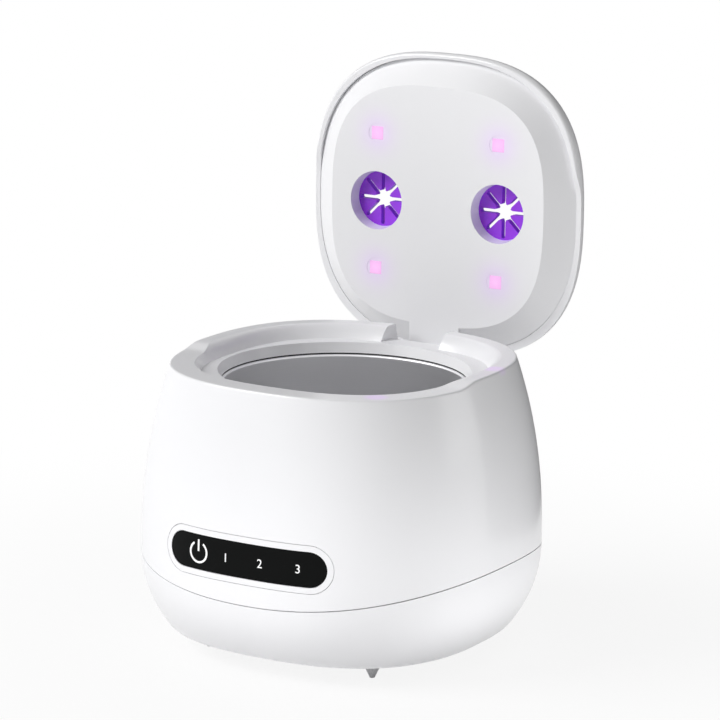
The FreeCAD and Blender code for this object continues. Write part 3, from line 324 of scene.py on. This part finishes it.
class CLEANER_OT_liner(bpy.types.Operator):
    """Satin ABS of the lid's inner face, with violet lamp light painted round the lamps"""
    bl_idname = "cleaner.liner"
    bl_label = "Lid liner"

    def execute(self, context):
        # A finely etched tool gives the inner face a satin look, duller than the outside
        made = moulded_abs("Satin white ABS", colours().liner, 0.38)
        tree = made.node_tree
        shader = next(node for node in tree.nodes if node.type == "BSDF_PRINCIPLED")
        shader.inputs["Emission Color"].default_value = rgba(colours().halo)
        # The painted violet lamp light, in colour and glow, falls off as the bell curve of the distance from
        # the nearest lamp
        share = add(tree, "ShaderNodeMath", {0: lamp_distance(tree), 1: HALO_REACH}, operation="DIVIDE")
        square = add(tree, "ShaderNodeMath", {0: share.outputs[0], 1: 2.0}, operation="POWER")
        fall = add(tree, "ShaderNodeMath", {0: 0.0, 1: square.outputs[0]}, operation="SUBTRACT")
        fall = add(tree, "ShaderNodeMath", {0: fall.outputs[0]}, operation="EXPONENT")
        glow = add(tree, "ShaderNodeMath", {0: fall.outputs[0], 1: HALO_GLOW}, operation="MULTIPLY")
        tree.links.new(glow.outputs[0], shader.inputs["Emission Strength"])
        share = add(tree, "ShaderNodeMath", {0: fall.outputs[0], 1: HALO_SHARE}, operation="MULTIPLY")
        painted_lamp_colour = add(tree, "ShaderNodeMix", {
            0: share.outputs[0], 6: rgba(colours().liner), 7: rgba(colours().halo)}, data_type="RGBA")
        tree.links.new(painted_lamp_colour.outputs[2], shader.inputs["Base Color"])
        paint("lid_liner", made)
        return {"FINISHED"}


class CLEANER_OT_tank(bpy.types.Operator):
    """Deep-drawn stainless steel of the tank, brushed round its axis"""
    bl_idname = "cleaner.tank"
    bl_label = "Steel tank"

    def execute(self, context):
        # Brushing round the axis gives level lines and highlights drawn out across them. Real grit lines are
        # about 0.05 mm wide, too fine to show, so they are drawn 0.25 mm wide and some 15 mm long.
        made, tree, shader = surface("Brushed stainless steel", {
            "Base Color": rgba(colours().steel), "Metallic": 1.0, "Anisotropic": 0.4})
        stretch = add(tree, "ShaderNodeMapping", {
            "Vector": object_point(tree), "Scale": BRUSH_SCALE})
        lines = add(tree, "ShaderNodeTexNoise", {"Vector": stretch.outputs[0], "Scale": 1.0, "Detail": 3.0})
        bump = add(tree, "ShaderNodeBump", {
            "Height": lines.outputs["Fac"], "Distance": 0.002 * MM, "Strength": 0.3})
        tree.links.new(bump.outputs[0], shader.inputs["Normal"])
        varied(tree, shader.inputs["Roughness"], lines.outputs["Fac"], 0.42, 0.50)
        tangent = add(tree, "ShaderNodeTangent", direction_type="RADIAL", axis="Z")
        tree.links.new(tangent.outputs[0], shader.inputs["Tangent"])
        paint("tank", made)
        return {"FINISHED"}


class CLEANER_OT_seals(bpy.types.Operator):
    """Rubber of the feet and the tank's seal, and foam of the touch pad"""
    bl_idname = "cleaner.seals"
    bl_label = "Rubber pieces"

    def execute(self, context):
        # Moulded rubber and cut foam give a dull skin with a fine even grain and no sharp highlight
        for node_name, name, code, roughness in (
            ("rubber_feet", "Moulded white rubber", "#ECECEE", 0.55),
            ("tank_gasket", "Black EPDM rubber", "#1D1D1F", 0.6),
            ("touch_pad", "Conductive foam", "#3A3A3D", 0.8),
        ):
            made, tree, shader = surface(name, {"Base Color": rgba(linear(code))})
            noise = grain_bump(tree, shader, 0.4 * MM, 0.02 * MM)
            varied(tree, shader.inputs["Roughness"], noise.outputs["Fac"], roughness - 0.05, roughness + 0.05)
            paint(node_name, made)
        return {"FINISHED"}


class CLEANER_OT_grommets(bpy.types.Operator):
    """Purple silicone of the slotted discs, with a faint painted glow for the lamps' light"""
    bl_idname = "cleaner.grommets"
    bl_label = "Slotted discs"

    def execute(self, context):
        # Moulded silicone lets a little light through, which softens its edges, and has a waxy sheen. Its
        # faint emission is a painted glow.
        made, tree, shader = surface("Purple silicone", {
            "Base Color": rgba(colours().silicone), "Subsurface Weight": 0.3, "Subsurface Scale": 1.5 * MM,
            "Emission Color": rgba(colours().silicone), "Emission Strength": 0.05})
        noise = grain_bump(tree, shader, 0.5 * MM, 0.01 * MM)
        varied(tree, shader.inputs["Roughness"], noise.outputs["Fac"], 0.32, 0.42)
        paint("grommet_left", made)
        paint("grommet_right", made)
        return {"FINISHED"}


class CLEANER_OT_lamps(bpy.types.Operator):
    """Glowing lamp windows and the lamps behind them"""
    bl_idname = "cleaner.lamps"
    bl_label = "Lamps"

    def execute(self, context):
        # A moulded acrylic square, lit from behind: brightest over the lamp, dimmer to its corners
        window, tree, shader = surface("Lit acrylic window", {
            "Base Color": rgba([0.5 * value for value in colours().lamp]), "IOR": 1.49,
            "Emission Color": rgba(colours().lamp)})
        share = add(tree, "ShaderNodeMath", {0: lamp_distance(tree), 1: LAMP_SIDE}, operation="DIVIDE")
        glow = add(tree, "ShaderNodeMapRange", {
            "Value": share.outputs[0], "To Min": WINDOW_GLOW[0], "To Max": WINDOW_GLOW[1]})
        tree.links.new(glow.outputs[0], shader.inputs["Emission Strength"])
        noise = grain_bump(tree, shader, 0.4 * MM, 0.004 * MM)
        varied(tree, shader.inputs["Roughness"], noise.outputs["Fac"], 0.2, 0.3)
        paint("led_windows", window)
        # Cast epoxy of the lamp package: yellowish and slightly glossy
        lamp, tree, shader = surface("Lamp package resin", {"Base Color": rgba(linear("#F2E6B8"))})
        noise = grain_bump(tree, shader, 0.3 * MM, 0.01 * MM)
        varied(tree, shader.inputs["Roughness"], noise.outputs["Fac"], 0.3, 0.4)
        paint("uv_leds", lamp)
        return {"FINISHED"}


def front_wall(x, z):
    """The panel's face: a superellipse in plan whose half width shrinks by a power law above the belly."""
    share = np.clip((z - BELLY_Z) / NARROWING_SPAN, 0.0, None)
    half = BELLY_HALF - NARROWING * share ** CURVE_POWER
    return -(half ** PLAN_POWER - np.abs(x) ** PLAN_POWER) ** (1.0 / PLAN_POWER)


def strip(across, along):
    """Quads of a grid of across by along points, numbered row by row."""
    i, j = np.meshgrid(np.arange(across - 1), np.arange(along - 1), indexing="ij")
    corners = [i * along + j, i * along + j + 1, (i + 1) * along + j + 1, (i + 1) * along + j]
    return np.stack(corners, axis=-1).reshape(-1, 4)


def printed(name, flat, faces):
    """Thin print on the panel: each point (x, z) of the flat mark is laid on the front wall."""
    x, z = flat[:, 0], flat[:, 1]
    y = front_wall(x, z) + WINDOW_INSET
    mesh = bpy.data.meshes.new(name)
    mesh.from_pydata(np.stack([x, y, z], axis=-1).tolist(), [], np.asarray(faces).tolist())
    mesh.validate()
    piece = bpy.data.objects.new(name, mesh)
    bpy.context.scene.collection.objects.link(piece)
    solid = piece.modifiers.new("Print thickness", "SOLIDIFY")
    solid.thickness = marks().proud
    solid.offset = 0.0
    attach(piece, "base")
    return piece


def power_mark():
    """Ring open at the top, between two radii over its sweep, and an upright bar through the opening."""
    m = marks()
    edges = m.stroke * np.array([-0.5, 0.5])
    sweep = np.radians(np.linspace(90.0 + RING_OPENING, 450.0 - RING_OPENING, RING_POINTS))
    r, t = np.meshgrid(m.key_radius + edges, sweep, indexing="ij")
    ring = np.stack([m.key_x + r * np.cos(t), PANEL_Z + r * np.sin(t)], axis=-1).reshape(-1, 2)
    u, v = np.meshgrid(edges, np.linspace(*BAR_ENDS, BAR_POINTS) * m.key_radius, indexing="ij")
    bar = np.stack([m.key_x + u, PANEL_Z + v], axis=-1).reshape(-1, 2)
    faces = np.concatenate([strip(2, RING_POINTS), strip(2, BAR_POINTS) + len(ring)])
    return np.concatenate([ring, bar]), faces


def digit_mesh(text):
    """A digit of the built-in typeface as a flat mesh: its points in the plane and its faces."""
    curve = bpy.data.curves.new("digit", "FONT")
    curve.body = text
    curve.resolution_u = 6
    holder = bpy.data.objects.new("digit", curve)
    bpy.context.scene.collection.objects.link(holder)
    bpy.context.view_layer.update()
    mesh = bpy.data.meshes.new_from_object(holder.evaluated_get(bpy.context.evaluated_depsgraph_get()))
    points = np.zeros(len(mesh.vertices) * 3)
    mesh.vertices.foreach_get("co", points)
    faces = [list(face.vertices) for face in mesh.polygons]
    bpy.data.objects.remove(holder)
    bpy.data.meshes.remove(mesh)
    return points.reshape(-1, 3)[:, :2], faces


class CLEANER_OT_panel(bpy.types.Operator):
    """Dark acrylic of the control panel and the white marks printed on it"""
    bl_idname = "cleaner.panel"
    bl_label = "Control panel"

    def execute(self, context):
        # Smoked acrylic with an anti-glare hard coat: near black, with hardly any reflection
        window, tree, shader = surface("Dark acrylic", {
            "Base Color": rgba(colours().panel), "IOR": 1.49, "Specular IOR Level": 0.06})
        noise = grain_bump(tree, shader, 0.6 * MM, 0.003 * MM)
        varied(tree, shader.inputs["Roughness"], noise.outputs["Fac"], 0.40, 0.48)
        paint("panel_window", window)
        # Screen-printed ink, flat and opaque, with a painted glow: a little brighter than its surroundings,
        # as when lit
        ink, tree, shader = surface("White screen print", {
            "Base Color": rgba(colours().marks), "Emission Color": rgba(colours().marks),
            "Emission Strength": 0.15})
        noise = grain_bump(tree, shader, 0.2 * MM, 0.004 * MM)
        varied(tree, shader.inputs["Roughness"], noise.outputs["Fac"], 0.4, 0.5)
        points, faces = power_mark()
        printed("power_mark", points, faces).data.materials.append(ink)
        m = marks()
        for level, place in enumerate(m.levels, start=1):
            points, faces = digit_mesh(str(level))
            low, high = points.min(axis=0), points.max(axis=0)
            scale = m.digit / (high[1] - low[1])
            centred = (points - [0.5 * (low[0] + high[0]), 0.5 * (low[1] + high[1])]) * scale
            printed(f"level_digit_{level}", centred + [place, PANEL_Z], faces).data.materials.append(ink)
        return {"FINISHED"}


class CLEANER_OT_inside(bpy.types.Operator):
    """Boards and drive parts in the base and the lid"""
    bl_idname = "cleaner.inside"
    bl_label = "Inner parts"

    def execute(self, context):
        # Each material's name says what it is and how it was made. Roughness sets it apart to the eye: cast
        # resin and enamel are glossy, metal is bright and fired or sintered stuff is dull. The last number is
        # the size of its grain in millimetres.
        for nodes, name, code, metallic, roughness, cell in (
            (("driver_board", "control_board", "lid_board"), "Green solder mask", "#1F6B42", 0.0, 0.35, 1.5),
            (("transformer_core",), "Sintered ferrite", "#2A2A2C", 0.0, 0.6, 0.5),
            (("transformer_winding",), "Enamelled copper wire", "#B5662E", 0.8, 0.35, 0.4),
            (("filter_capacitors",), "Sleeved aluminium can", "#3B4256", 0.0, 0.4, 1.0),
            (("heat_sink",), "Extruded aluminium", "#B6B8BA", 1.0, 0.4, 0.3),
            (("power_transistor", "power_inlet"), "Black moulded nylon", "#1B1B1D", 0.0, 0.45, 0.4),
            (("piezo_disc",), "Fired piezo ceramic", "#C9C3AE", 0.0, 0.7, 0.3),
            (("adhesive_pad",), "Cured epoxy", "#6A6454", 0.0, 0.3, 0.8),
            (("clamp_ring",), "Glass-filled nylon", "#DADADB", 0.0, 0.5, 0.4),
            (("indicator_leds",), "Clear lamp resin", "#F4F2E4", 0.0, 0.2, 0.8),
            (("inlet_nut",), "Turned brass", "#C9A860", 1.0, 0.35, 0.3),
            (("hinge_pin",), "Drawn steel", "#C2C2C5", 1.0, 0.3, 0.3),
            (("base_screws", "clamp_screws", "board_screws", "control_board_screws", "lid_board_screws"),
             "Zinc-plated steel", "#B9BBC0", 1.0, 0.35, 0.3),
        ):
            made, tree, shader = surface(name, {"Base Color": rgba(linear(code)), "Metallic": metallic})
            noise = grain_bump(tree, shader, cell * MM, 0.01 * MM)
            varied(tree, shader.inputs["Roughness"], noise.outputs["Fac"], roughness - 0.05, roughness + 0.05)
            for node in nodes:
                paint(node, made)
        return {"FINISHED"}


def soft_box(name, place, aim, width, height, power):
    """Rectangular area light at place, facing aim."""
    data = bpy.data.lights.new(name, "AREA")
    data.shape = "RECTANGLE"
    data.size = width
    data.size_y = height
    data.energy = power
    lamp = bpy.data.objects.new(name, data)
    lamp.location = place
    lamp.rotation_euler = (Vector(aim) - Vector(place)).to_track_quat("-Z", "Y").to_euler()
    bpy.context.scene.collection.objects.link(lamp)
    return lamp


def studio_card(name, place, width, height, code):
    """Upright matte card that faces the object. Only its shade and its reflection reach the picture."""
    made = surface(name, {"Base Color": rgba(linear(code)), "Roughness": 1.0})[0]
    corners = np.array([(-0.5, 0.0, -0.5), (0.5, 0.0, -0.5), (0.5, 0.0, 0.5), (-0.5, 0.0, 0.5)])
    turn = math.atan2(place[0], -place[1])
    x = place[0] + width * corners[:, 0] * math.cos(turn)
    y = place[1] + width * corners[:, 0] * math.sin(turn)
    z = place[2] + height * corners[:, 2]
    mesh = bpy.data.meshes.new(name)
    mesh.from_pydata(np.stack([x, y, z], axis=-1).tolist(), [], [(0, 1, 2, 3)])
    mesh.materials.append(made)
    card = bpy.data.objects.new(name, mesh)
    card.visible_camera = False
    bpy.context.scene.collection.objects.link(card)
    return card


def photograph_camera(s):
    """Camera on a sphere round the target, rolled about its own axis."""
    a, e = s.azimuth, s.elevation
    back = Vector((math.sin(a) * math.cos(e), -math.cos(a) * math.cos(e), math.sin(e)))
    right = Vector((math.cos(a), math.sin(a), 0.0))
    up = back.cross(right)
    target = Vector((0.0, 0.0, s.target_height)) + right * s.target_side
    turned_right = right * math.cos(s.roll) + up * math.sin(s.roll)
    turned_up = up * math.cos(s.roll) - right * math.sin(s.roll)
    data = bpy.data.cameras.new("Camera")
    data.lens = s.lens
    data.sensor_width = 36.0
    camera = bpy.data.objects.new("Camera", data)
    columns = Matrix((turned_right, turned_up, back)).transposed().to_4x4()
    camera.matrix_world = Matrix.Translation(target + back * s.distance) @ columns
    bpy.context.scene.collection.objects.link(camera)
    bpy.context.scene.camera = camera


def white_world(strength):
    """Even light all round; the camera, gloss and glass see plain white."""
    world = bpy.data.worlds.new("White room")
    world.use_nodes = True
    tree = world.node_tree
    tree.nodes.clear()
    light = add(tree, "ShaderNodeBackground", {"Color": (1.0, 1.0, 1.0, 1.0), "Strength": strength})
    seen = add(tree, "ShaderNodeBackground", {"Color": (1.0, 1.0, 1.0, 1.0), "Strength": 1.0})
    path = add(tree, "ShaderNodeLightPath")
    either = add(tree, "ShaderNodeMath", {
        0: path.outputs["Is Camera Ray"], 1: path.outputs["Is Transmission Ray"]}, operation="MAXIMUM")
    fac = add(tree, "ShaderNodeMath", {
        0: either.outputs[0], 1: path.outputs["Is Glossy Ray"]}, operation="MAXIMUM")
    mix = add(tree, "ShaderNodeMixShader", {0: fac.outputs[0], 1: light.outputs[0], 2: seen.outputs[0]})
    add(tree, "ShaderNodeOutputWorld", {"Surface": mix.outputs[0]})
    bpy.context.scene.world = world


def pale_floor(reach):
    """Matte floor under the object that runs out into plain white further away."""
    made = bpy.data.materials.new("Pale floor")
    made.use_nodes = True
    tree = made.node_tree
    tree.nodes.clear()
    matte = add(tree, "ShaderNodeBsdfDiffuse", {"Color": rgba(linear("#F4F4F4"))})
    plain = add(tree, "ShaderNodeEmission", {"Color": (1.0, 1.0, 1.0, 1.0), "Strength": 1.0})
    path = add(tree, "ShaderNodeLightPath")
    distance = add(tree, "ShaderNodeVectorMath", {0: object_point(tree)}, operation="LENGTH")
    far = add(tree, "ShaderNodeMapRange", {
        "Value": distance.outputs["Value"], "From Min": FLOOR_FADE[0], "From Max": FLOOR_FADE[1],
        "To Min": 0.0, "To Max": 1.0}, interpolation_type="SMOOTHSTEP")
    seen = add(tree, "ShaderNodeMath", {
        0: path.outputs["Is Camera Ray"], 1: path.outputs["Is Glossy Ray"]}, operation="MAXIMUM")
    seen = add(tree, "ShaderNodeMath", {
        0: seen.outputs[0], 1: path.outputs["Is Transmission Ray"]}, operation="MAXIMUM")
    share = add(tree, "ShaderNodeMapRange", {"Value": far.outputs[0], "To Min": FLOOR_WHITE, "To Max": 1.0})
    fac = add(tree, "ShaderNodeMath", {0: seen.outputs[0], 1: share.outputs[0]}, operation="MULTIPLY")
    mix = add(tree, "ShaderNodeMixShader", {0: fac.outputs[0], 1: matte.outputs[0], 2: plain.outputs[0]})
    add(tree, "ShaderNodeOutputMaterial", {"Surface": mix.outputs[0]})
    mesh = bpy.data.meshes.new("Floor")
    corners = np.array([(-1, -1, 0), (1, -1, 0), (1, 1, 0), (-1, 1, 0)], float) * reach
    mesh.from_pydata(corners.tolist(), [], [(0, 1, 2, 3)])
    floor = bpy.data.objects.new("Floor", mesh)
    mesh.materials.append(made)
    bpy.context.scene.collection.objects.link(floor)


class CLEANER_OT_stage(bpy.types.Operator):
    """Camera, soft lights, white surroundings and floor"""
    bl_idname = "cleaner.stage"
    bl_label = "Stage"

    def execute(self, context):
        s = context.scene.cleaner_stage
        photograph_camera(s)
        white_world(s.sky)
        pale_floor(s.floor_reach)
        # Places, aims and sizes in metres: the two studio lights face the body
        soft_box("Key", (-0.95, -1.00, 1.15), (0.0, 0.0, 0.09), 1.0, 0.8, s.key_power)
        soft_box("Fill", (1.10, 0.90, 0.50), (0.0, 0.0, 0.06), 1.2, 0.8, s.fill_power)
        # Two weak lights lie just above the floor, face up and stand for light off the table
        for name, x, y, width, height, power in (
            ("Table bounce right", 0.16, -0.06, 0.16, 0.24, s.bounce_power),
            ("Table bounce front", 0.06, -0.17, 0.24, 0.16, s.front_bounce_power),
        ):
            bounce = soft_box(name, (x, y, 0.002), (x, y, 1.0), width, height, power)
            bounce.visible_camera = False
            bounce.visible_glossy = False
        # The card behind darkens what the gloss reflects there, and the flag is seen by gloss alone
        grey = studio_card("Grey card", (-0.62, 0.92, 0.46), 0.90, 0.44, "#8A8A8E")
        flag = studio_card("Black flag", (0.08, 0.20, 0.15), 0.28, 0.30, "#101010")
        flag.visible_diffuse = False
        flag.visible_shadow = False
        context.scene.view_settings.view_transform = "Standard"
        return {"FINISHED"}


PIECE_OPERATORS = (
    CLEANER_OT_shells, CLEANER_OT_liner, CLEANER_OT_tank, CLEANER_OT_seals, CLEANER_OT_grommets,
    CLEANER_OT_lamps, CLEANER_OT_panel, CLEANER_OT_inside, CLEANER_OT_stage,
)


class CLEANER_PT_panel(bpy.types.Panel):
    """Cleaner's pieces and values"""
    bl_idname = "CLEANER_PT_panel"
    bl_label = "Retainer cleaner"
    bl_space_type = "VIEW_3D"
    bl_region_type = "UI"
    bl_category = "Cleaner"

    def draw(self, context):
        for operator in PIECE_OPERATORS:
            self.layout.operator(operator.bl_idname)
        for group in ("cleaner_colours", "cleaner_marks", "cleaner_stage"):
            values = getattr(context.scene, group)
            for name in values.bl_rna.properties.keys():
                if name not in ("rna_type", "name"):
                    self.layout.prop(values, name)


GROUPS = {
    "cleaner_colours": CleanerColours,
    "cleaner_marks": CleanerMarks,
    "cleaner_stage": CleanerStage,
}
CLASSES = tuple(GROUPS.values()) + PIECE_OPERATORS + (CLEANER_PT_panel,)


def register():
    """Add the classes and the values to Blender."""
    for item in CLASSES:
        bpy.utils.register_class(item)
    for name, group in GROUPS.items():
        setattr(bpy.types.Scene, name, PointerProperty(type=group))


def unregister():
    """Take the classes and the values out of Blender again."""
    for name in GROUPS:
        delattr(bpy.types.Scene, name)
    for item in reversed(CLASSES):
        bpy.utils.unregister_class(item)


def main():
    """Run every operator in turn."""
    register()
    for operator in PIECE_OPERATORS:
        family, action = operator.bl_idname.split(".")
        getattr(getattr(bpy.ops, family), action)()
    bpy.context.view_layer.update()


if __name__ == "__main__":
    main()
